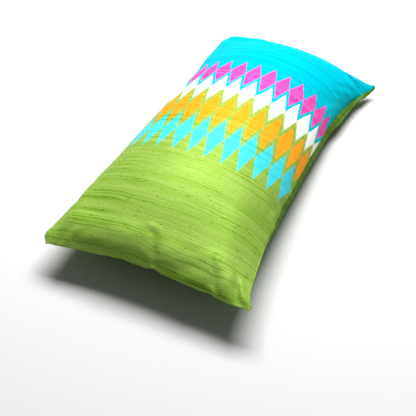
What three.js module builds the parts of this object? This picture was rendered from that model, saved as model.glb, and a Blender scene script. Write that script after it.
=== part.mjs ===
// A filled cushion cover of raw silk: a woven front panel and a plain back panel, sewn edge to edge.
// Millimetres, +Z up. The cushion lies on its back. +Y runs to its cyan end, +X to its right side.
//
// Every point of the cloth has flat coordinates: u across the panel and v along it, from the panel's
// middle, as it lay when it was cut. A height is worked out for each (u, v). The cloth can't stretch,
// so its place in plan follows from the length of the threads: where the cloth climbs, less of the
// thread is left to reach outwards. That draws the sides in between the corners.
import * as THREE from 'three';

// The cut of both panels, seam to seam
const PANEL_WIDTH = 300;
const PANEL_LENGTH = 500;
const HALF_WIDTH = PANEL_WIDTH / 2;
const HALF_LENGTH = PANEL_LENGTH / 2;

// How far the filling lifts the front and pushes the back away from the seam
const FRONT_CROWN = 58.5;
const BACK_CROWN = 55;

// The seam's edge: two cloths and their allowances, half in each panel
const SEAM_HALF_THICKNESS = 1.3;
const PANEL_GAP = 0.4;

// The belly is pressed flat over this depth where it rests
const REST_FLATTENING = 5;

// How full the cushion is towards each edge: a larger power carries the crown further out,
// and a smaller rounding exponent makes the edge blunter
const FULLNESS = {
  left: { power: 2.22, rounding: 0.89 },
  right: { power: 1.99, rounding: 0.89 },
  green: { power: 2.93, rounding: 0.97 },
  cyan: { power: 2.79, rounding: 0.7 },
};

// The seam isn't level. Its height is a sum of terms rise * s^across * t^along,
// where s and t run from -1 to 1 over the panel's width and length.
const SEAM_HEIGHT = [
  { across: 2, along: 0, rise: -12.9 },
  { across: 0, along: 2, rise: 2.6 },
  { across: 1, along: 1, rise: -6.3 },
  { across: 2, along: 2, rise: -5.9 },
  { across: 3, along: 0, rise: 0.4 },
  { across: 0, along: 3, rise: 2.4 },
  { across: 2, along: 1, rise: -13.9 },
  { across: 1, along: 2, rise: -4.3 },
  { across: 4, along: 0, rise: -0.5 },
  { across: 0, along: 4, rise: 6.2 },
];

// The corners: how far each one rises, how far it is pulled in across, and the radius of its cut
const CORNERS = [
  { side: -1, end: -1, rise: 2.7, pull: 27.6, radius: 13 },
  { side: 1, end: -1, rise: -1.3, pull: -2.5, radius: 9 },
  { side: 1, end: 1, rise: -3.5, pull: 7.2, radius: 7 },
  { side: -1, end: 1, rise: -2, pull: 0, radius: 9 },
];
const CORNER_REACH_POWER = 4;

// How the cover lies in plan: skewed, a little narrower at the cyan end, bowed along its length
// and across its ends
const SKEW = 19.2;
const TAPER = -0.0084;
const SIDE_BOW = 4;
const END_BOW = 5.6;

// On the right the back panel swells past the seam, most at middle and not at all past reach
const FLANK = { swell: 10.9, middle: 0.1, reach: 0.9, sidePower: 6, endPower: 4 };

// Creases of the front panel, as soft grooves (negative) and ridges (positive) along a line in
// flat coordinates
const CREASES = [
  { name: 'dimple head', from: [6, -205], to: [20, -205], width: 7, height: -5.5 },
  { name: 'dimple', from: [16, -210], to: [36, -246], width: 9, height: -7 },
  { name: 'tuck beside the dimple', from: [-4, -238], to: [24, -232], width: 5, height: -2.5 },
  { name: 'right front groove', from: [92, -214], to: [115, -246], width: 8, height: -6 },
  { name: 'ear groove', from: [124, -217], to: [138, -244], width: 6, height: -3.5 },
  { name: 'ear ridge', from: [128, -204], to: [143, -240], width: 5, height: 2.5 },
  { name: 'ear side dent', from: [140, -206], to: [147, -222], width: 5, height: -2.5 },
  { name: 'cyan corner fold', from: [99, 234], to: [143, 223], width: 7, height: -8 },
  { name: 'cyan ear ridge', from: [120, 241], to: [143, 238], width: 6, height: 2.5 },
  { name: 'cyan side groove', from: [112, 171], to: [142, 168], width: 7, height: -3 },
  { name: 'left ear fold', from: [-126, -238], to: [-88, -226], width: 8, height: -3.5 },
  { name: 'left cyan fold', from: [-128, 232], to: [-96, 216], width: 9, height: -3 },
];

// The mesh: cells across and along, closer together towards the seam
const CELLS_ACROSS = 32;
const CELLS_ALONG = 48;
const EDGE_CROWDING = 0.5;
const INNER_RING_SHARE = 0.86;
const THREAD_STEPS = 60;
const STEEPEST_SHARE = 0.02;

const COLOURS = { front: 0x8fbf45, back: 0x6e9a2e };

// Fraction of the crown at s, t: 1 in the middle, 0 on the seam
function fullness(s, t) {
  const side = s < 0 ? FULLNESS.left : FULLNESS.right;
  const end = t < 0 ? FULLNESS.green : FULLNESS.cyan;
  const across = Math.max(0, 1 - Math.abs(s) ** side.power) ** side.rounding;
  const along = Math.max(0, 1 - Math.abs(t) ** end.power) ** end.rounding;
  return across * along;
}

// Weight of a corner at s, t: 1 at the corner, fading away from it
function cornerWeight(corner, s, t) {
  return (((1 + corner.side * s) / 2) * ((1 + corner.end * t) / 2)) ** CORNER_REACH_POWER;
}

// Distance from a point of the cloth to a crease's line
function distanceToCrease(crease, u, v) {
  const [fromU, fromV] = crease.from;
  const alongU = crease.to[0] - fromU;
  const alongV = crease.to[1] - fromV;
  const share = ((u - fromU) * alongU + (v - fromV) * alongV) / (alongU ** 2 + alongV ** 2);
  const nearest = Math.min(1, Math.max(0, share));
  return Math.hypot(u - fromU - nearest * alongU, v - fromV - nearest * alongV);
}

function creaseHeight(u, v) {
  let height = 0;
  for (const crease of CREASES) {
    height += crease.height * Math.exp(-((distanceToCrease(crease, u, v) / crease.width) ** 2));
  }
  return height;
}

// Height of the surface that the seam lies in
function seamHeight(u, v) {
  const s = u / HALF_WIDTH;
  const t = v / HALF_LENGTH;
  let height = 0;
  for (const term of SEAM_HEIGHT) height += term.rise * s ** term.across * t ** term.along;
  for (const corner of CORNERS) height += corner.rise * cornerWeight(corner, s, t);
  return height;
}

function crownedHeight(u, v) {
  return seamHeight(u, v) + FRONT_CROWN * fullness(u / HALF_WIDTH, v / HALF_LENGTH);
}

function frontHeight(u, v) {
  const creased = crownedHeight(u, v) + creaseHeight(u, v);
  return Math.max(seamHeight(u, v), creased) + SEAM_HALF_THICKNESS;
}

function backHeight(u, v) {
  const drop = BACK_CROWN * fullness(u / HALF_WIDTH, v / HALF_LENGTH);
  return seamHeight(u, v) - SEAM_HALF_THICKNESS - drop;
}

// How far a thread of the uncreased cloth reaches in plan, from the middle to its point at reach
function threadRun(heightAt, reach) {
  const step = reach / THREAD_STEPS;
  let run = 0;
  let last = heightAt(0);
  for (let i = 1; i <= THREAD_STEPS; i++) {
    const next = heightAt(i * step);
    const flat = Math.max(step ** 2 - (next - last) ** 2, STEEPEST_SHARE * step ** 2);
    run += Math.sign(step) * Math.sqrt(flat);
    last = next;
  }
  return run;
}

// Where a point of the cloth comes to lie in plan
function planPlace(u, v) {
  const s = u / HALF_WIDTH;
  const t = v / HALF_LENGTH;
  let x = threadRun((reach) => crownedHeight(reach, v), u);
  x = x * (1 + TAPER * t) + SIDE_BOW * t ** 2 + SKEW * t;
  for (const corner of CORNERS) x -= corner.side * corner.pull * cornerWeight(corner, s, t);
  const y = threadRun((reach) => crownedHeight(u, reach), v);
  return [x, y + END_BOW * s ** 2];
}

// How far the back panel swells to the right of the seam
function flankSwell(u, v) {
  const s = Math.max(0, u / HALF_WIDTH) ** FLANK.sidePower;
  const fromMiddle = Math.abs(v / HALF_LENGTH - FLANK.middle) / FLANK.reach;
  return FLANK.swell * 4 * s * (1 - s) * Math.max(0, 1 - fromMiddle ** FLANK.endPower);
}

// Cloth coordinates of a place in the mesh, where p and q run from -1 to 1. The rectangle's corners
// are rounded: the square beside each corner is spread over a quarter disc of that corner's radius.
function clothPoint(p, q) {
  const corner = CORNERS.find((c) => c.side === (p < 0 ? -1 : 1) && c.end === (q < 0 ? -1 : 1));
  const straightU = HALF_WIDTH - corner.radius;
  const straightV = HALF_LENGTH - corner.radius;
  const outU = (Math.abs(p) * HALF_WIDTH - straightU) / corner.radius;
  const outV = (Math.abs(q) * HALF_LENGTH - straightV) / corner.radius;
  let u = Math.abs(p) * HALF_WIDTH;
  let v = Math.abs(q) * HALF_LENGTH;
  if (outU > 0 && outV > 0) {
    u = straightU + corner.radius * outU * Math.sqrt(1 - outV ** 2 / 2);
    v = straightV + corner.radius * outV * Math.sqrt(1 - outU ** 2 / 2);
  }
  return [Math.sign(p) * u, Math.sign(q) * v];
}

// The i-th of count + 1 places from -1 to 1, crowded towards the ends
function crowded(i, count) {
  const even = (2 * i) / count - 1;
  return (1 - EDGE_CROWDING) * even + EDGE_CROWDING * Math.sin((even * Math.PI) / 2);
}

// Grid numbers of the seam's points, anticlockwise from above
function seamRing() {
  const ring = [];
  const row = CELLS_ACROSS + 1;
  for (let i = 0; i < CELLS_ACROSS; i++) ring.push(i);
  for (let j = 0; j < CELLS_ALONG; j++) ring.push(j * row + CELLS_ACROSS);
  for (let i = CELLS_ACROSS; i > 0; i--) ring.push(CELLS_ALONG * row + i);
  for (let j = CELLS_ALONG; j > 0; j--) ring.push(j * row);
  return ring;
}

// One filled half of the cushion: the outer cloth, the edge of the seam, and the inner face that
// meets the other half. up is 1 for the front and -1 for the back.
function halfCushion(up, outerPoint) {
  const innerPoint = (u, v) => [...planPlace(u, v), seamHeight(u, v) + (up * PANEL_GAP) / 2];
  const points = [];
  const faces = [];
  const addFace = (a, b, c) => faces.push(...(up > 0 ? [a, b, c] : [a, c, b]));
  const cloth = [];
  for (let j = 0; j <= CELLS_ALONG; j++) {
    for (let i = 0; i <= CELLS_ACROSS; i++) {
      const [u, v] = clothPoint(crowded(i, CELLS_ACROSS), crowded(j, CELLS_ALONG));
      cloth.push([u, v]);
      points.push(...outerPoint(u, v));
    }
  }
  for (let j = 0; j < CELLS_ALONG; j++) {
    for (let i = 0; i < CELLS_ACROSS; i++) {
      const a = j * (CELLS_ACROSS + 1) + i;
      const d = a + CELLS_ACROSS + 1;
      addFace(a, a + 1, d + 1);
      addFace(a, d + 1, d);
    }
  }
  const ring = seamRing();
  const count = ring.length;
  const edge = points.length / 3;
  const inner = edge + count;
  const centre = inner + count;
  for (const share of [1, INNER_RING_SHARE]) {
    for (const index of ring) points.push(...innerPoint(cloth[index][0] * share, cloth[index][1] * share));
  }
  points.push(...innerPoint(0, 0));
  for (let k = 0; k < count; k++) {
    const next = (k + 1) % count;
    addFace(edge + k, edge + next, ring[next]);
    addFace(edge + k, ring[next], ring[k]);
    addFace(inner + k, inner + next, edge + next);
    addFace(inner + k, edge + next, edge + k);
    addFace(centre, inner + next, inner + k);
  }
  const geometry = new THREE.BufferGeometry();
  geometry.setAttribute('position', new THREE.Float32BufferAttribute(points, 3));
  geometry.setIndex(faces);
  geometry.computeVertexNormals();
  return geometry;
}

function frontPoint(u, v) {
  return [...planPlace(u, v), frontHeight(u, v)];
}

const REST_HEIGHT = REST_FLATTENING - BACK_CROWN - SEAM_HALF_THICKNESS;

function backPoint(u, v) {
  const [x, y] = planPlace(u, v);
  return [x + flankSwell(u, v), y, Math.max(REST_HEIGHT, backHeight(u, v))];
}

function silk(colour) {
  return new THREE.MeshStandardMaterial({ color: colour, roughness: 0.55, metalness: 0 });
}

const frontPanel = new THREE.Mesh(halfCushion(1, frontPoint), silk(COLOURS.front));
frontPanel.name = 'front_panel';
const backPanel = new THREE.Mesh(halfCushion(-1, backPoint), silk(COLOURS.back));
backPanel.name = 'back_panel';

const cushion = new THREE.Group();
cushion.add(frontPanel, backPanel);

// The origin is under the middle of the cushion, on the surface that it rests on
const box = new THREE.Box3().setFromObject(cushion);
const middle = box.getCenter(new THREE.Vector3());
cushion.position.set(-middle.x, -middle.y, -box.min.z);
cushion.updateMatrixWorld(true);

export default cushion;
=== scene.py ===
"""A filled cushion cover of raw silk, lying on its back on a pale floor.

Sizes are in millimetres unless a name says otherwise, and MM turns them to Blender's metres. Every
point of the cloth keeps its flat coordinates, u across the panel and v along it, as it was cut. The
green end is at -v and the cyan end at +v. The camera is the photograph's.
"""

import math

import bmesh
import bpy
import numpy as np
from mathutils import Matrix, Vector
from mathutils.kdtree import KDTree


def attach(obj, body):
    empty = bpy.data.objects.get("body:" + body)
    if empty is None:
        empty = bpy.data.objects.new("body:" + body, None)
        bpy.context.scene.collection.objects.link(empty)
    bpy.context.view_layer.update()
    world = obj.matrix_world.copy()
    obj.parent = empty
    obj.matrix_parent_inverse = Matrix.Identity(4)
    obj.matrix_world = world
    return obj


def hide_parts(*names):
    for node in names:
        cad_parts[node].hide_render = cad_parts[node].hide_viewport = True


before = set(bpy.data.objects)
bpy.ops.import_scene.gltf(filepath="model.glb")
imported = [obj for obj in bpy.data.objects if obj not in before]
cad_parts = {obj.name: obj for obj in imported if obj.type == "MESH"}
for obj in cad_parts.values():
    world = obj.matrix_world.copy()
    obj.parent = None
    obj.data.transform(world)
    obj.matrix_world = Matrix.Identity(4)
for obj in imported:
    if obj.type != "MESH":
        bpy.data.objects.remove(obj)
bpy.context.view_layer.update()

MM = 0.001
# Keeps a division away from zero
TINY = 1e-9

# The camera of the photograph: its place and angles, and its focal length in pixels of the frame
FRAME_PIXELS = 416
FOCAL_PIXELS = 704.9
SENSOR_WIDTH = 36
NEAREST_SEEN = 10
CAMERA_PLACE = (308.1, -676.6, 721.6)
CAMERA_PITCH = 47.06
CAMERA_AZIMUTH = 26.76
CAMERA_ROLL = 3.08

# The cut of both panels, seam to seam, and where the cloth's middle lies in the part's frame
PANEL_WIDTH = 300
PANEL_LENGTH = 500
HALF_WIDTH = PANEL_WIDTH / 2
HALF_LENGTH = PANEL_LENGTH / 2
CLOTH_MIDDLE = (-6.14, -4.52, 51.3)

# The filled shape, as in the solids: its crowns and how full each side and end is, the terms of the
# seam's height in powers of the shares across and along, how each corner is lifted, pulled in and
# rounded, the lay in plan, and how far the back swells out to the right of the seam
FRONT_CROWN = 59.8
BACK_CROWN = 56.3
FULLNESS = {
    "left": {"power": 2.22, "rounding": 0.89},
    "right": {"power": 1.99, "rounding": 0.89},
    "green": {"power": 2.93, "rounding": 0.97},
    "cyan": {"power": 2.79, "rounding": 0.7},
}
SEAM_HEIGHT = [
    {"across": 2, "along": 0, "rise": -12.9},
    {"across": 0, "along": 2, "rise": 2.6},
    {"across": 1, "along": 1, "rise": -6.3},
    {"across": 2, "along": 2, "rise": -5.9},
    {"across": 3, "along": 0, "rise": 0.4},
    {"across": 0, "along": 3, "rise": 2.4},
    {"across": 2, "along": 1, "rise": -13.9},
    {"across": 1, "along": 2, "rise": -4.3},
    {"across": 4, "along": 0, "rise": -0.5},
    {"across": 0, "along": 4, "rise": 6.2},
]
CORNERS = [
    {"side": -1, "end": -1, "rise": 2.7, "pull": 27.6, "radius": 6},
    {"side": 1, "end": -1, "rise": -1.3, "pull": -2.5, "radius": 5},
    {"side": 1, "end": 1, "rise": -3.5, "pull": 7.2, "radius": 7},
    {"side": -1, "end": 1, "rise": -2, "pull": 0, "radius": 9},
]
CORNER_REACH_POWER = 4
SKEW = 19.2
TAPER = -0.0084
SIDE_BOW = 4
END_BOW = 5.6
FLANK = {"swell": 10.9, "middle": 0.1, "reach": 0.9, "side_power": 6, "end_power": 4}

# Threads keep their length over the crown. They are followed in steps, none steeper than this share.
THREAD_STEPS = 60
STEEPEST_SHARE = 0.02

# What the maker's hands and the filling do to the plain filled shape. Each moves the cloth along a
# path in its flat coordinates, and fades out over its width. A third number in a path is the share
# of the detail at that point. Seam pulls move both panels.
SEAM_PULLS = {
    "green end hangs": {"path": [(-150, -262), (150, -262)], "width": 17, "move": (0, 0.7, -7.9)},
    "right of it steeper": {"path": [(85, -258), (116, -258)], "width": 12, "move": (0, 3.6, -3.8)},
    "left of it more": {"path": [(-150, -250), (-50, -250)], "width": 12, "move": (0, -0.8, -2.2)},
    "left green ear": {"path": [(-150, -250)], "width": 10, "move": (3, -0.5, -1.5)},
    "beside the left green ear": {"path": [(-150, -238)], "width": 7, "move": (-3, 0, 0)},
    "right green ear": {"path": [(150, -250)], "width": 15, "move": (7, 2, 0)},
    "right cyan ear": {"path": [(150, 250)], "width": 10, "move": (4, 1.5, 3.5)},
    "beside the right cyan ear": {"path": [(150, 222), (150, 236)], "width": 10, "move": (4, 0, -3.5)},
    "left cyan ear": {"path": [(-150, 250)], "width": 26, "move": (6, -6, -9)},
    "pucker at the crease": {"path": [(30, -250)], "width": 7, "move": (0, 1.8, 1.4)},
    "pucker left of it": {"path": [(-14, -250)], "width": 6, "move": (0, 1, 0.8)},
    "pucker by the groove": {"path": [(104, -250)], "width": 6, "move": (0, 1.4, 1.2)},
}
BACK_SWELLS = {
    "cyan flank": {"path": [(132, 150), (132, 222)], "width": 22, "move": (5, 0, 0)},
}
# Swells (up) and folds (down) of the front, which the seam holds down over its last millimetres. No
# fold goes deeper than a share of the filling there.
SEAM_HOLD = 4
DEEPEST_SHARE = 0.6
FOLDS = {
    "green shoulder": {"path": [(-110, -218), (124, -218)], "width": 16, "height": 2},
    "left of the shoulder": {"path": [(-110, -218), (-20, -218)], "width": 17, "height": 1.2},
    "right side swell": {"path": [(134, -90), (135, 205)], "width": 19, "height": 3},
    "right side hollow": {
        "path": [(147, -100, 0), (147, -130), (147, -180), (147, -206, 0)], "width": 10, "height": -2},
    "left green swell": {"path": [(-128, -140), (-114, -205)], "width": 22, "height": 3},
    "right green swell": {"path": [(106, -80), (104, -200)], "width": 26, "height": 3},
    "left cyan swell": {"path": [(-124, 150), (-116, 222)], "width": 26, "height": 6},
    "back left swell": {"path": [(-112, 228), (-50, 238)], "width": 18, "height": 3},
    "left ledge": {"path": [(-90, -232), (12, -232)], "width": 7, "height": 0.9},
    "brow of the dimple": {"path": [(5, -199), (17, -201)], "width": 4.5, "height": 0.8},
    "dimple": {"path": [(6, -204, 0.4), (12, -205.5), (18, -207, 0.4)], "width": 4, "height": -0.9},
    "dimple crease": {
        "path": [(15, -206, 0.3), (20, -217, 0.6), (24, -227), (27, -237), (31, -246, 0.5)],
        "width": 4.6, "height": -4},
    "pocket at the seam": {"path": [(8, -242), (26, -241)], "width": 4, "height": -1},
    "swell left of the crease": {"path": [(-30, -226), (2, -226)], "width": 11, "height": 1.4},
    "swell right of the crease": {"path": [(42, -224), (50, -238)], "width": 12, "height": 2.2},
    "right groove": {
        "path": [(90, -207, 0), (97, -213, 0.3), (103, -223, 0.8), (106, -234), (114, -246, 0.5)],
        "width": 4.6, "height": -3.6},
    "swell beside the ear": {"path": [(114, -216, 0), (118, -230), (122, -242)], "width": 8, "height": 2},
    "ear trough": {"path": [(125, -212, 0), (131, -228), (137, -244)], "width": 4, "height": -2.2},
    "ear ridge": {"path": [(131, -210, 0), (138, -228), (142, -240)], "width": 4.5, "height": 2.5},
    "ear side dent": {"path": [(139, -210), (147, -222)], "width": 4, "height": -1},
    "cyan corner fold": {
        "path": [(97, 236, 0), (110, 230), (123, 228), (133, 226), (142, 223, 0.5)],
        "width": 2.6, "height": -5.5},
    "cyan ear ridge": {"path": [(120, 241), (143, 238)], "width": 6, "height": 1.5},
    "cyan side groove": {"path": [(116, 170), (139, 168)], "width": 5, "height": -1.8},
    "left cyan fold": {"path": [(-128, 232), (-100, 218)], "width": 7, "height": -2},
}
# Along the sides the stitches hold the front down beside the seam, and the back's folded edge stands
# out as a lip. Both fade out towards the ends.
STITCHED_SIDES = 212
STITCH_FADING = 5
STITCHES = {"place": 2.4, "width": 1.6, "depth": 1.1}
LIP = {"place": 1.4, "width": 1.6, "height": 0.8}

# The simulated mesh: its cells, how far they crowd towards the seam, and how often they are halved
CELL = 6.5
EDGE_CROWDING = 0.35
HALVINGS = 2
SAME_POINT = 0.01

# The simulation: a light, limp cloth that hardly stretches, pushed out by the filling. Only the
# wrinkles that it makes by the seam are kept, away from the ears.
FILLING_FRAMES = 20
CLOTH_SETTINGS = {
    "quality": 8,
    "mass": 0.15,
    "tension_stiffness": 30,
    "compression_stiffness": 30,
    "shear_stiffness": 8,
    "bending_stiffness": 0.4,
    "use_pressure": True,
    "uniform_pressure_force": 4,
}
WRINKLE_ROUNDS = 12
WRINKLE_REACH = 42
EAR_REACH = 40
MOST_MOTION = 2.5

# The hidden inside of a panel: rings halfway between the panels, closed at the middle
FRONT, BACK = 0, 1
INNER_RING_SHARES = [0.985, 0.95, 0.86]
PANEL_GAP = 0.4

# The woven rows: a zigzag edge has its height along the cloth at the diamonds' side points, and how
# far it rises from there to their middles. Areas are laid in this order on the green ground. Their
# edges are feathered, and ragged from weft to weft, and a share of the ground shows between the
# threads of some.
DIAMOND_WIDTH = 23.3
FIRST_DIAMOND = -100.2
UNEVEN_PITCH = {"patch": 45, "most": 7}
WEFT_WIDTH = 1.2
WEFT_SLANT = 0.04
WEFT_JITTER = 0.8
BEYOND = 900
WOVEN_AREAS = {
    "undyed": {
        "colour": "#FFFFF6", "lower": 23, "lower_rise": 32.8, "upper": BEYOND, "upper_rise": 0,
        "feather": 9, "ragged": 5, "showing": 0},
    "cyan": {
        "colour": "#00C7D7", "lower": 87.3, "lower_rise": -33.3, "upper": BEYOND, "upper_rise": 0,
        "feather": 2.4, "ragged": 1.5, "showing": 0},
    "lilac edge": {
        "colour": "#D99BE0", "lower": 99.2, "lower_rise": -32.5, "upper": 99.2, "upper_rise": 31,
        "feather": 2.4, "ragged": 1.5, "showing": 0},
    "pink": {
        "colour": "#F466B8", "lower": 100.7, "lower_rise": -32.5, "upper": 97.7, "upper_rise": 31,
        "feather": 2.4, "ragged": 1.5, "showing": 0.05},
    "amber edge": {
        "colour": "#E6B44E", "lower": 7.7, "lower_rise": -40, "upper": 4.7, "upper_rise": 38,
        "feather": 6, "ragged": 4, "showing": 0},
    "amber": {
        "colour": "#FFB33A", "lower": 10, "lower_rise": -40, "upper": 2.4, "upper_rise": 38,
        "feather": 6, "ragged": 4, "showing": 0.12},
    "pale cyan edge": {
        "colour": "#8CDCD8", "lower": -84.9, "lower_rise": 40.5, "upper": -8.9, "upper_rise": -38.5,
        "feather": 4.5, "ragged": 3, "showing": 0},
    "light cyan": {
        "colour": "#5ADCE8", "lower": -83, "lower_rise": 40.5, "upper": -10.8, "upper_rise": -38.5,
        "feather": 4.5, "ragged": 3, "showing": 0.12},
}
GREEN = "#A4C264"
BACK_GREEN = "#6C8C42"

# Uneven threads: how long and wide a patch of each unevenness is, and its share. One pixel of the
# picture is 1.4 mm of cloth and a thread is about 0.4 mm, so threads, dark threads, slubs and the
# grain of the pattern are all drawn two to four threads together.
THREAD_PATCHES = [
    {"length": 3.5, "width": 1.3, "share": 0.26},
    {"length": 30, "width": 1.4, "share": 0.26},
    {"length": 220, "width": 2.3, "share": 0.18},
    {"length": 320, "width": 10, "share": 0.3},
]
STREAKS = {"starts": 0.36, "full": 0.64}
DARK_THREADS = {"length": 170, "width": 2, "starts": 0.62, "full": 0.78}
SLUBS = {"length": 7, "width": 1.8, "starts": 0.74, "full": 0.84, "more_on_dark": 0.12}
GRAIN = {"length": 2.8, "width": 2.2, "starts": 0.42, "full": 0.58}
THREAD_DRIFT = {"patch": 60, "most": 7}

# How deep the dye is. Thick streaks look paler, and dark threads deeper. Slubs are deeper too: partly
# their own tone, partly painted shade of the knots.
DYE_DEPTH = 1.22
DEPTH_AND_SLUB_SHADE_OF = {"streaks": -0.45, "dark threads": 0.45, "slubs": 0.9}

# The gloss of raw silk is soft and takes the colour of its dye. A trace of metallic and a low,
# coloured specular give that. The relief is that of the threads and their slubs.
SILK_METALLIC = 0.07
SILK_ROUGHNESS = 0.42
SILK_SPECULAR = 0.05
THREAD_RELIEF = 0.5
RELIEF_STRENGTH = 0.32
SLUB_RELIEF = 0.5

# The floor, and the light, a soft box behind and above the cushion. Sizes are in metres.
PAPER = "#E6E6E6"
PAPER_ROUGHNESS = 0.9
FLOOR_SIZE = 6
LIGHT_SIZE = (1.4, 0.7)
LIGHT_DIRECTION = (-0.06, 0.39, 0.91)
LIGHT_DISTANCE = 1.7
LIGHT_ENERGY = 31.5
ROOM_LIGHT = 0.14


def add_camera():
    camera = bpy.data.objects.new("camera", bpy.data.cameras.new("camera"))
    camera.data.sensor_width = SENSOR_WIDTH
    camera.data.lens = FOCAL_PIXELS / FRAME_PIXELS * SENSOR_WIDTH
    camera.data.clip_start = NEAREST_SEEN * MM
    turn = Matrix.Rotation(math.radians(CAMERA_AZIMUTH), 4, "Z")
    turn = turn @ Matrix.Rotation(math.radians(90 - CAMERA_PITCH), 4, "X")
    turn = turn @ Matrix.Rotation(math.radians(-CAMERA_ROLL), 4, "Z")
    camera.matrix_world = Matrix.Translation(Vector(CAMERA_PLACE) * MM) @ turn
    bpy.context.scene.collection.objects.link(camera)
    bpy.context.scene.camera = camera


def fullness(s, t):
    """Share of the crown at s, t, which run from -1 to 1: 1 in the middle, 0 on the seam."""
    across = np.ones_like(s)
    for name, there in (("left", s < 0), ("right", s >= 0)):
        side = FULLNESS[name]
        shape = np.clip(1 - np.abs(s) ** side["power"], 0, 1) ** side["rounding"]
        across = np.where(there, shape, across)
    along = np.ones_like(t)
    for name, there in (("green", t < 0), ("cyan", t >= 0)):
        end = FULLNESS[name]
        shape = np.clip(1 - np.abs(t) ** end["power"], 0, 1) ** end["rounding"]
        along = np.where(there, shape, along)
    return across * along


def corner_weight(corner, s, t):
    """1 at a corner, fading out quickly away from it."""
    near = (1 + corner["side"] * s) / 2 * (1 + corner["end"] * t) / 2
    return near ** CORNER_REACH_POWER


def seam_height(u, v):
    """Height of the surface that the seam lies in."""
    s = u / HALF_WIDTH
    t = v / HALF_LENGTH
    height = sum(term["rise"] * s ** term["across"] * t ** term["along"] for term in SEAM_HEIGHT)
    return height + sum(corner["rise"] * corner_weight(corner, s, t) for corner in CORNERS)


def from_seam(u, v):
    """Distance in the cloth from the seam, where the cut's corners are round."""
    distance = np.minimum(HALF_WIDTH - np.abs(u), HALF_LENGTH - np.abs(v))
    for corner in CORNERS:
        radius = corner["radius"]
        out_u = corner["side"] * u - (HALF_WIDTH - radius)
        out_v = corner["end"] * v - (HALF_LENGTH - radius)
        distance = np.where((out_u > 0) & (out_v > 0), radius - np.hypot(out_u, out_v), distance)
    return np.maximum(distance, 0)


def crowned_height(u, v):
    return seam_height(u, v) + FRONT_CROWN * fullness(u / HALF_WIDTH, v / HALF_LENGTH)


def thread_run(height_at, reach):
    """How far threads reach in plan, from the middle of the cloth to their points at reach."""
    step = reach / THREAD_STEPS
    run = np.zeros_like(reach)
    last = height_at(np.zeros_like(reach))
    for i in range(1, THREAD_STEPS + 1):
        following = height_at(i * step)
        flat = np.maximum(step ** 2 - (following - last) ** 2, STEEPEST_SHARE * step ** 2)
        run += np.sign(step) * np.sqrt(flat)
        last = following
    return run


def plan_place(u, v):
    """Where points of the cloth come to lie in plan."""
    s = u / HALF_WIDTH
    t = v / HALF_LENGTH
    x = thread_run(lambda reach: crowned_height(reach, v), u)
    x = x * (1 + TAPER * t) + SIDE_BOW * t ** 2 + SKEW * t
    for corner in CORNERS:
        x = x - corner["side"] * corner["pull"] * corner_weight(corner, s, t)
    y = thread_run(lambda reach: crowned_height(u, reach), v) + END_BOW * s ** 2
    return x, y


def flank_swell(u, v):
    """How far the back panel swells to the right of the seam."""
    s = np.clip(u / HALF_WIDTH, 0, 1) ** FLANK["side_power"]
    from_middle = np.abs(v / HALF_LENGTH - FLANK["middle"]) / FLANK["reach"]
    return FLANK["swell"] * 4 * s * (1 - s) * np.clip(1 - from_middle ** FLANK["end_power"], 0, 1)


def filled_place(u, v, panel):
    """Places in metres of points of the filled cushion's front or back."""
    x, y = plan_place(u, v)
    z = seam_height(u, v)
    full = fullness(u / HALF_WIDTH, v / HALF_LENGTH)
    if panel == FRONT:
        z = z + FRONT_CROWN * full
    else:
        x = x + flank_swell(u, v)
        z = z - BACK_CROWN * full
    place = np.stack([x, y, z], axis=1) + np.array(CLOTH_MIDDLE)
    place[:, 2] = np.maximum(place[:, 2], 0)
    return place * MM


def cloth_point(p, q):
    """Cloth coordinates of places in a square mesh from -1 to 1, with the cut's round corners."""
    p = (1 - EDGE_CROWDING) * p + EDGE_CROWDING * np.sin(p * math.pi / 2)
    q = (1 - EDGE_CROWDING) * q + EDGE_CROWDING * np.sin(q * math.pi / 2)
    u = np.abs(p) * HALF_WIDTH
    v = np.abs(q) * HALF_LENGTH
    for corner in CORNERS:
        radius = corner["radius"]
        straight_u = HALF_WIDTH - radius
        straight_v = HALF_LENGTH - radius
        out_u = (np.abs(p) * HALF_WIDTH - straight_u) / radius
        out_v = (np.abs(q) * HALF_LENGTH - straight_v) / radius
        here = (p * corner["side"] > 0) & (q * corner["end"] > 0) & (out_u > 0) & (out_v > 0)
        u = np.where(here, straight_u + radius * out_u * np.sqrt(np.clip(1 - out_v ** 2 / 2, 0, 1)), u)
        v = np.where(here, straight_v + radius * out_v * np.sqrt(np.clip(1 - out_u ** 2 / 2, 0, 1)), v)
    return np.sign(p) * u, np.sign(q) * v


def lay_panel(mesh, flat, panel):
    """Add the front or the back to the mesh, on the filled shape and with its faces outward."""
    made = bmesh.ops.create_grid(
        mesh, x_segments=round(PANEL_WIDTH / CELL), y_segments=round(PANEL_LENGTH / CELL), size=1
    )["verts"]
    square = np.array([vert.co for vert in made])
    u, v = cloth_point(square[:, 0], square[:, 1])
    for vert, cut, place in zip(made, np.stack([u, v], axis=1), filled_place(u, v, panel)):
        vert[flat] = (cut[0], cut[1], 0)
        vert.co = place
    faces = {face for vert in made for face in vert.link_faces}
    for face in faces:
        face.material_index = panel
    if panel == BACK:
        bmesh.ops.reverse_faces(mesh, faces=list(faces))


def filled_cushion():
    """Both panels on the filled shape, joined along the seam, with the cloth's flat coordinates."""
    mesh = bmesh.new()
    flat = mesh.verts.layers.float_vector.new("flat")
    lay_panel(mesh, flat, FRONT)
    lay_panel(mesh, flat, BACK)
    seam = [vert for vert in mesh.verts if vert.is_boundary]
    bmesh.ops.remove_doubles(mesh, verts=seam, dist=SAME_POINT * MM)
    data = bpy.data.meshes.new("cushion")
    mesh.to_mesh(data)
    mesh.free()
    cushion = bpy.data.objects.new("cushion", data)
    bpy.context.scene.collection.objects.link(cushion)
    return cushion


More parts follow.
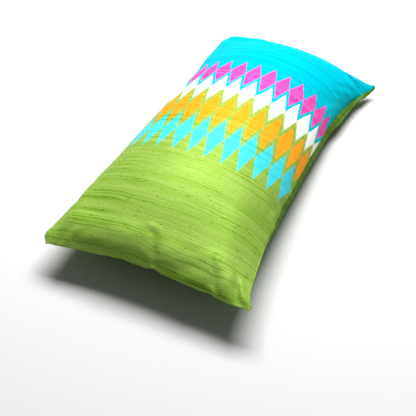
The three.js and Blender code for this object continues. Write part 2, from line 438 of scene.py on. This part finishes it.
def coordinates(mesh, name="position"):
    """The mesh's points, or another vector kept for each point, as an array."""
    values = np.empty(len(mesh.vertices) * 3)
    mesh.attributes[name].data.foreach_get("vector", values)
    return values.reshape(-1, 3)


def smoothed(values, edges, rounds):
    """Values kept for each point, evened out along the edges."""
    count = np.bincount(edges.ravel(), minlength=len(values))[:, None]
    for _ in range(rounds):
        total = np.zeros_like(values)
        np.add.at(total, edges[:, 0], values[edges[:, 1]])
        np.add.at(total, edges[:, 1], values[edges[:, 0]])
        values = (values + total / count) / 2
    return values


def pushed_out(cushion):
    """Where the cloth's points come to lie when its filling pushes it out from its flat cut."""
    cushion.shape_key_add(name="filled")
    cut = cushion.shape_key_add(name="cut flat")
    cut.data.foreach_set("co", (coordinates(cushion.data, "flat") * MM).ravel())
    cloth = cushion.modifiers.new("filling", "CLOTH")
    cloth.settings.rest_shape_key = cut
    for name, value in CLOTH_SETTINGS.items():
        setattr(cloth.settings, name, value)
    cloth.settings.effector_weights.gravity = 0
    cloth.collision_settings.use_collision = False
    cloth.point_cache.frame_start = 1
    cloth.point_cache.frame_end = FILLING_FRAMES
    for number in range(1, FILLING_FRAMES + 1):
        bpy.context.scene.frame_set(number)
    settled = coordinates(cushion.evaluated_get(bpy.context.evaluated_depsgraph_get()).data)
    cushion.modifiers.clear()
    cushion.shape_key_clear()
    return settled


def wrinkle_seam(cushion):
    """Keep the short wrinkles that the filling makes by the seam, and leave the shape as it is."""
    mesh = cushion.data
    start = coordinates(mesh)
    motion = pushed_out(cushion) - start
    edges = np.array([edge.vertices[:] for edge in mesh.edges])
    wrinkles = motion - smoothed(motion, edges, WRINKLE_ROUNDS)
    size = np.linalg.norm(wrinkles, axis=1)[:, None]
    wrinkles = wrinkles * np.minimum(1, MOST_MOTION * MM / np.maximum(size, TINY))
    flat = coordinates(mesh, "flat")
    near_seam = np.exp(-(from_seam(flat[:, 0], flat[:, 1]) / WRINKLE_REACH) ** 2)
    from_ear = np.hypot(HALF_WIDTH - np.abs(flat[:, 0]), HALF_LENGTH - np.abs(flat[:, 1]))
    near_ear = np.exp(-(from_ear / EAR_REACH) ** 2)
    wrinkles = wrinkles * (near_seam * (1 - near_ear))[:, None]
    mesh.attributes["position"].data.foreach_set("vector", (start + wrinkles).ravel())


def halve_cells(cushion):
    finer = cushion.modifiers.new("finer", "SUBSURF")
    finer.levels = HALVINGS
    finer.render_levels = HALVINGS
    evaluated = cushion.evaluated_get(bpy.context.evaluated_depsgraph_get())
    cushion.data = bpy.data.meshes.new_from_object(evaluated)
    cushion.modifiers.clear()


def nearness(detail, u, v):
    """1 on a detail's path in the cloth, or the share given there, fading out over its width."""
    path = [(*point, 1)[:3] for point in detail["path"]]
    nearest = np.hypot(u - path[0][0], v - path[0][1])
    strength = np.full_like(u, path[0][2])
    for start, end in zip(path, path[1:]):
        run = (end[0] - start[0], end[1] - start[1])
        share = ((u - start[0]) * run[0] + (v - start[1]) * run[1]) / (run[0] ** 2 + run[1] ** 2)
        share = np.clip(share, 0, 1)
        distance = np.hypot(u - start[0] - share * run[0], v - start[1] - share * run[1])
        strength = np.where(distance < nearest, start[2] + share * (end[2] - start[2]), strength)
        nearest = np.minimum(nearest, distance)
    return strength * np.exp(-(nearest / detail["width"]) ** 2)


def outward(u, v):
    """Directions in plan that point out of the cushion, for points near the seam."""
    x = np.sign(u) * np.exp(-(HALF_WIDTH - np.abs(u)) / SEAM_HOLD)
    y = np.sign(v) * np.exp(-(HALF_LENGTH - np.abs(v)) / SEAM_HOLD)
    length = np.maximum(np.hypot(x, y), TINY)
    return np.stack([x / length, y / length, np.zeros_like(x)], axis=1)


def panel_points(mesh):
    """Which points belong to the front and to the back. Those of the seam belong to both."""
    panels = np.zeros((2, len(mesh.vertices)), bool)
    for face in mesh.polygons:
        panels[face.material_index, list(face.vertices)] = True
    return panels


def along_seam(line, u, v):
    """1 on a line that runs beside the side seams, fading out over its width and at the ends."""
    sides = 1 / (1 + np.exp((np.abs(v) - STITCHED_SIDES) / STITCH_FADING))
    return sides * np.exp(-((from_seam(u, v) - line["place"]) / line["width"]) ** 2)


def press_details(cushion):
    """Pull at the seam, and press the folds, the stitches and the lip into the cloth."""
    mesh = cushion.data
    place = coordinates(mesh)
    flat = coordinates(mesh, "flat")
    panels = panel_points(mesh)
    front = panels[FRONT] & ~panels[BACK]
    back = panels[BACK] & ~panels[FRONT]
    u, v = flat[:, 0], flat[:, 1]
    move = np.zeros_like(place)
    for pull in SEAM_PULLS.values():
        move += nearness(pull, u, v)[:, None] * pull["move"]
    for swell in BACK_SWELLS.values():
        move += (nearness(swell, u, v) * back)[:, None] * swell["move"]
    folds = sum(fold["height"] * nearness(fold, u, v) for fold in FOLDS.values())
    folds = folds * (1 - np.exp(-(from_seam(u, v) / SEAM_HOLD) ** 2))
    stitches = STITCHES["depth"] * along_seam(STITCHES, u, v)
    filling = (FRONT_CROWN + BACK_CROWN) * fullness(u / HALF_WIDTH, v / HALF_LENGTH)
    move[:, 2] += front * np.maximum(folds - stitches, -DEEPEST_SHARE * filling)
    lip = LIP["height"] * along_seam(LIP, u, v)
    move += (back * lip)[:, None] * outward(u, v)
    place += move * MM
    place[:, 2] = np.maximum(place[:, 2], 0)
    mesh.attributes["position"].data.foreach_set("vector", place.ravel())


def cloth_finders(cushion):
    """For each panel, a finder of its points by their flat coordinates."""
    flat = coordinates(cushion.data, "flat")
    finders = []
    for on_panel in panel_points(cushion.data):
        finder = KDTree(int(on_panel.sum()))
        for index in np.flatnonzero(on_panel):
            finder.insert(flat[index], index)
        finder.balance()
        finders.append(finder)
    return finders


def halfway(cushion, finders, cut):
    """The place under a point of the front's cloth, halfway down to the back's."""
    front, back = (cushion.data.vertices[finder.find(cut)[1]].co for finder in finders)
    return Vector((front.x, front.y, (front.z + back.z) / 2))


def extruded(mesh, edges):
    made = bmesh.ops.extrude_edge_only(mesh, edges=edges)["geom"]
    verts = [item for item in made if isinstance(item, bmesh.types.BMVert)]
    return verts, [item for item in made if isinstance(item, bmesh.types.BMEdge)]


def close_inside(mesh, cushion, finders, panel):
    """Close a panel from its seam inwards, halfway between the two panels."""
    flat = mesh.verts.layers.float_vector["flat"]
    edges = [edge for edge in mesh.edges if edge.is_boundary]
    apart = Vector((0, 0, (1 if panel == FRONT else -1) * PANEL_GAP / 2 * MM))
    last_share = 1
    for share in INNER_RING_SHARES:
        verts, edges = extruded(mesh, edges)
        for vert in verts:
            vert[flat] = vert[flat] * (share / last_share)
            vert.co = halfway(cushion, finders, vert[flat]) + apart
        last_share = share
    verts, edges = extruded(mesh, edges)
    for vert in verts:
        vert[flat] = (0, 0, 0)
    bmesh.ops.pointmerge(mesh, verts=verts, merge_co=Vector(CLOTH_MIDDLE) * MM + apart)


def map_cloth(mesh):
    """Give the faces the cloth's flat map, from 0 to 1 over the panel's cut."""
    flat = mesh.verts.layers.float_vector["flat"]
    cloth_map = mesh.loops.layers.uv.new("cloth")
    for face in mesh.faces:
        face.material_index = 0
        face.smooth = True
        for loop in face.loops:
            u, v, _ = loop.vert[flat]
            loop[cloth_map].uv = (u / PANEL_WIDTH + 0.5, v / PANEL_LENGTH + 0.5)


def cut_panel(cushion, finders, panel, name):
    """One panel of the cushion as a closed piece, with its own flat map of the cloth."""
    mesh = bmesh.new()
    mesh.from_mesh(cushion.data)
    others = [face for face in mesh.faces if face.material_index != panel]
    bmesh.ops.delete(mesh, geom=others, context="FACES")
    close_inside(mesh, cushion, finders, panel)
    map_cloth(mesh)
    data = bpy.data.meshes.new(name)
    mesh.to_mesh(data)
    mesh.free()
    piece = bpy.data.objects.new(name, data)
    bpy.context.scene.collection.objects.link(piece)
    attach(piece, "root")
    return piece


def sewn_panels():
    """Sew, fill and shape the cushion, and take it apart into its front and back."""
    cushion = filled_cushion()
    wrinkle_seam(cushion)
    halve_cells(cushion)
    press_details(cushion)
    finders = cloth_finders(cushion)
    front_cloth = cut_panel(cushion, finders, FRONT, "front_cloth")
    back_cloth = cut_panel(cushion, finders, BACK, "back_cloth")
    bpy.data.objects.remove(cushion)
    return front_cloth, back_cloth


def linear(hex_colour):
    """The linear colour of an sRGB hex value."""
    values = [int(hex_colour[i:i + 2], 16) / 255 for i in (1, 3, 5)]
    return [v / 12.92 if v <= 0.04045 else ((v + 0.055) / 1.055) ** 2.4 for v in values] + [1]


def add_node(tree, kind, inputs=None, **settings):
    """Add a node. An input is a value, or the socket or node that it is linked to."""
    node = tree.nodes.new(kind)
    for name, value in settings.items():
        setattr(node, name, value)
    for name, value in (inputs or {}).items():
        if isinstance(value, bpy.types.Node):
            value = value.outputs[0]
        if isinstance(value, bpy.types.NodeSocket):
            tree.links.new(value, node.inputs[name])
        else:
            node.inputs[name].default_value = value
    return node


def cloth_place(tree):
    """The place in the cloth in millimetres, from the panel's own flat map."""
    cloth_map = add_node(tree, "ShaderNodeUVMap", uv_map="cloth")
    return add_node(tree, "ShaderNodeVectorMath", {
        0: cloth_map, 1: (PANEL_WIDTH, PANEL_LENGTH, 0), 2: (-HALF_WIDTH, -HALF_LENGTH, 0),
    }, operation="MULTIPLY_ADD")


def wandering(tree, flat):
    """The place along threads that drift a little, as hand-woven wefts do."""
    noise = add_node(tree, "ShaderNodeTexNoise", {
        "Vector": flat, "Scale": 1 / THREAD_DRIFT["patch"], "Detail": 1})
    return add_node(tree, "ShaderNodeVectorMath", {
        0: noise.outputs["Color"], 1: (0, THREAD_DRIFT["most"], 0), 2: flat,
    }, operation="MULTIPLY_ADD")


def patches(tree, place, size, detail):
    """Noise in patches of a length along the wefts and a width across them."""
    stretched = add_node(tree, "ShaderNodeVectorMath", {
        0: place, 1: (1 / size["length"], 1 / size["width"], 0)}, operation="MULTIPLY")
    return add_node(tree, "ShaderNodeTexNoise", {"Vector": stretched, "Scale": 1, "Detail": detail})


def thread_streaks(tree, drift):
    """Thick and thin places of the threads, 1 where they are thickest."""
    threads = 0
    for patch in THREAD_PATCHES:
        noise = patches(tree, drift, patch, 1)
        threads = add_node(tree, "ShaderNodeMath", {0: noise, 1: patch["share"], 2: threads},
                           operation="MULTIPLY_ADD")
    return add_node(tree, "ShaderNodeMapRange", {
        "Value": threads, "From Min": STREAKS["starts"], "From Max": STREAKS["full"]})


def slubs_and_dark_threads(tree, drift):
    """Single dark threads, and the knots of raw silk, of which they have more."""
    dark = add_node(tree, "ShaderNodeMapRange", {
        "Value": patches(tree, drift, DARK_THREADS, 0),
        "From Min": DARK_THREADS["starts"], "From Max": DARK_THREADS["full"]})
    level = add_node(tree, "ShaderNodeMath", {
        0: dark, 1: SLUBS["more_on_dark"], 2: patches(tree, drift, SLUBS, 0),
    }, operation="MULTIPLY_ADD")
    slubs = add_node(tree, "ShaderNodeMapRange", {
        "Value": level, "From Min": SLUBS["starts"], "From Max": SLUBS["full"]})
    return slubs, dark


def diamond_zigzag(tree, flat, across, along, row):
    """0 at the diamonds' side points and half their width at their middles, weft by weft."""
    jitter = add_node(tree, "ShaderNodeTexWhiteNoise", {"W": row}, noise_dimensions="1D")
    shifted = add_node(tree, "ShaderNodeMath", {0: jitter, 1: WEFT_JITTER, 2: across},
                       operation="MULTIPLY_ADD")
    slanted = add_node(tree, "ShaderNodeMath", {0: along, 1: WEFT_SLANT, 2: shifted},
                       operation="MULTIPLY_ADD")
    noise = add_node(tree, "ShaderNodeTexNoise", {
        "Vector": flat, "Detail": 0, "Scale": 1 / UNEVEN_PITCH["patch"]})
    uneven = add_node(tree, "ShaderNodeMath", {0: noise, 1: UNEVEN_PITCH["most"], 2: slanted},
                      operation="MULTIPLY_ADD")
    first = -FIRST_DIAMOND - WEFT_JITTER / 2 - UNEVEN_PITCH["most"] / 2
    from_first = add_node(tree, "ShaderNodeMath", {0: uneven, 1: first}, operation="ADD")
    return add_node(tree, "ShaderNodeMath", {0: from_first, 1: DIAMOND_WIDTH / 2},
                    operation="PINGPONG")


def area_inside(tree, area, zigzag, row, ragged_row):
    """1 between an area's lower and upper edges, with each weft ending a little off its edge."""
    masks = []
    for edge, sign in (("lower", 1), ("upper", -1)):
        height = add_node(tree, "ShaderNodeMath", {
            0: zigzag, 1: area[edge + "_rise"] * 2 / DIAMOND_WIDTH, 2: area[edge],
        }, operation="MULTIPLY_ADD")
        uneven = add_node(tree, "ShaderNodeMath", {0: ragged_row, 1: area["ragged"], 2: height},
                          operation="MULTIPLY_ADD")
        above = add_node(tree, "ShaderNodeMath", {0: row, 1: uneven}, operation="SUBTRACT")
        reach = sign * area["feather"] / 2
        masks.append(add_node(tree, "ShaderNodeMapRange", {
            "Value": above, "From Min": -reach, "From Max": reach}))
    return add_node(tree, "ShaderNodeMath", {0: masks[0], 1: masks[1]}, operation="MULTIPLY")


def woven_colour(tree, flat, ground, areas):
    """The dyes of the threads: the ground, and on it the areas of the pattern.

    The rows' raggedness is random again, so it reads a row beyond the panel. The grain covers half of
    the cloth, so an area loses twice its share there.
    """
    colour = add_node(tree, "ShaderNodeRGB")
    colour.outputs[0].default_value = linear(ground)
    if not areas:
        return colour
    axes = add_node(tree, "ShaderNodeSeparateXYZ", {0: flat})
    across, along = axes.outputs[0], axes.outputs[1]
    row = add_node(tree, "ShaderNodeMath", {0: along, 1: WEFT_WIDTH}, operation="SNAP")
    zigzag = diamond_zigzag(tree, flat, across, along, row)
    other_row = add_node(tree, "ShaderNodeMath", {0: row, 1: PANEL_LENGTH}, operation="ADD")
    ragged_noise = add_node(tree, "ShaderNodeTexWhiteNoise", {"W": other_row}, noise_dimensions="1D")
    ragged_row = add_node(tree, "ShaderNodeMath", {0: ragged_noise, 1: 0.5}, operation="SUBTRACT")
    grain = add_node(tree, "ShaderNodeMapRange", {
        "Value": patches(tree, flat, GRAIN, 0), "From Min": GRAIN["starts"], "From Max": GRAIN["full"]})
    for area in areas.values():
        inside = area_inside(tree, area, zigzag, row, ragged_row)
        if area["showing"]:
            covered = add_node(tree, "ShaderNodeMath", {0: grain, 1: -2 * area["showing"], 2: 1},
                               operation="MULTIPLY_ADD")
            inside = add_node(tree, "ShaderNodeMath", {0: inside, 1: covered}, operation="MULTIPLY")
        colour = add_node(tree, "ShaderNodeMixRGB", {
            "Fac": inside, "Color1": colour, "Color2": linear(area["colour"])})
    return colour


def raw_silk(name, ground, areas):
    """Raw silk, dyed in the yarn and woven by hand: uneven threads with slubs, and a soft gloss."""
    material = bpy.data.materials.new(name)
    material.use_nodes = True
    tree = material.node_tree
    flat = cloth_place(tree)
    drift = wandering(tree, flat)
    streaks = thread_streaks(tree, drift)
    slubs, dark_threads = slubs_and_dark_threads(tree, drift)
    colour = woven_colour(tree, flat, ground, areas)
    depth = DYE_DEPTH
    # The slubs' deeper colour is partly painted shade of the knots, on top of their relief.
    for detail, kind in ((streaks, "streaks"), (dark_threads, "dark threads"), (slubs, "slubs")):
        depth = add_node(tree, "ShaderNodeMath", {0: detail, 1: DEPTH_AND_SLUB_SHADE_OF[kind], 2: depth},
                         operation="MULTIPLY_ADD")
    dyed = add_node(tree, "ShaderNodeGamma", {"Color": colour, "Gamma": depth})
    relief = add_node(tree, "ShaderNodeMath", {0: slubs, 1: SLUB_RELIEF, 2: streaks},
                      operation="MULTIPLY_ADD")
    bump = add_node(tree, "ShaderNodeBump", {
        "Height": relief, "Strength": RELIEF_STRENGTH, "Distance": THREAD_RELIEF * MM})
    silk = tree.nodes["Principled BSDF"]
    tree.links.new(dyed.outputs[0], silk.inputs["Base Color"])
    tree.links.new(bump.outputs[0], silk.inputs["Normal"])
    tree.links.new(dyed.outputs[0], silk.inputs["Specular Tint"])
    silk.inputs["Metallic"].default_value = SILK_METALLIC
    silk.inputs["Roughness"].default_value = SILK_ROUGHNESS
    silk.inputs["Specular IOR Level"].default_value = SILK_SPECULAR
    return material


def finish_panel(piece, node, silk):
    """Give a panel its silk, and let it stand for its solid."""
    piece.data.materials.clear()
    piece.data.materials.append(silk)
    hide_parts(node)


def add_floor():
    """Matte white paper: pale and without gloss, so that only the shadow shows on it."""
    bpy.ops.mesh.primitive_plane_add(size=FLOOR_SIZE)
    floor = bpy.context.object
    paper = bpy.data.materials.new("matte white paper")
    paper.use_nodes = True
    surface = paper.node_tree.nodes["Principled BSDF"]
    surface.inputs["Base Color"].default_value = linear(PAPER)
    surface.inputs["Roughness"].default_value = PAPER_ROUGHNESS
    floor.data.materials.append(paper)


def light_scene():
    """A soft box, and the even light of a pale room."""
    light = bpy.data.objects.new("soft box", bpy.data.lights.new("soft box", "AREA"))
    light.data.energy = LIGHT_ENERGY
    light.data.shape = "RECTANGLE"
    light.data.size, light.data.size_y = LIGHT_SIZE
    light.location = Vector(LIGHT_DIRECTION).normalized() * LIGHT_DISTANCE
    light.rotation_euler = light.location.to_track_quat("Z", "Y").to_euler()
    bpy.context.scene.collection.objects.link(light)
    room = bpy.data.worlds.new("room")
    bpy.context.scene.world = room
    room.use_nodes = True
    background = room.node_tree.nodes["Background"]
    background.inputs["Color"].default_value = (1, 1, 1, 1)
    background.inputs["Strength"].default_value = ROOM_LIGHT


add_camera()
front_cloth, back_cloth = sewn_panels()
finish_panel(front_cloth, "front_panel", raw_silk("patterned raw silk", GREEN, WOVEN_AREAS))
finish_panel(back_cloth, "back_panel", raw_silk("green raw silk", BACK_GREEN, {}))
add_floor()
light_scene()
bpy.context.scene.view_settings.view_transform = "Standard"
bpy.context.scene.view_settings.look = "High Contrast"
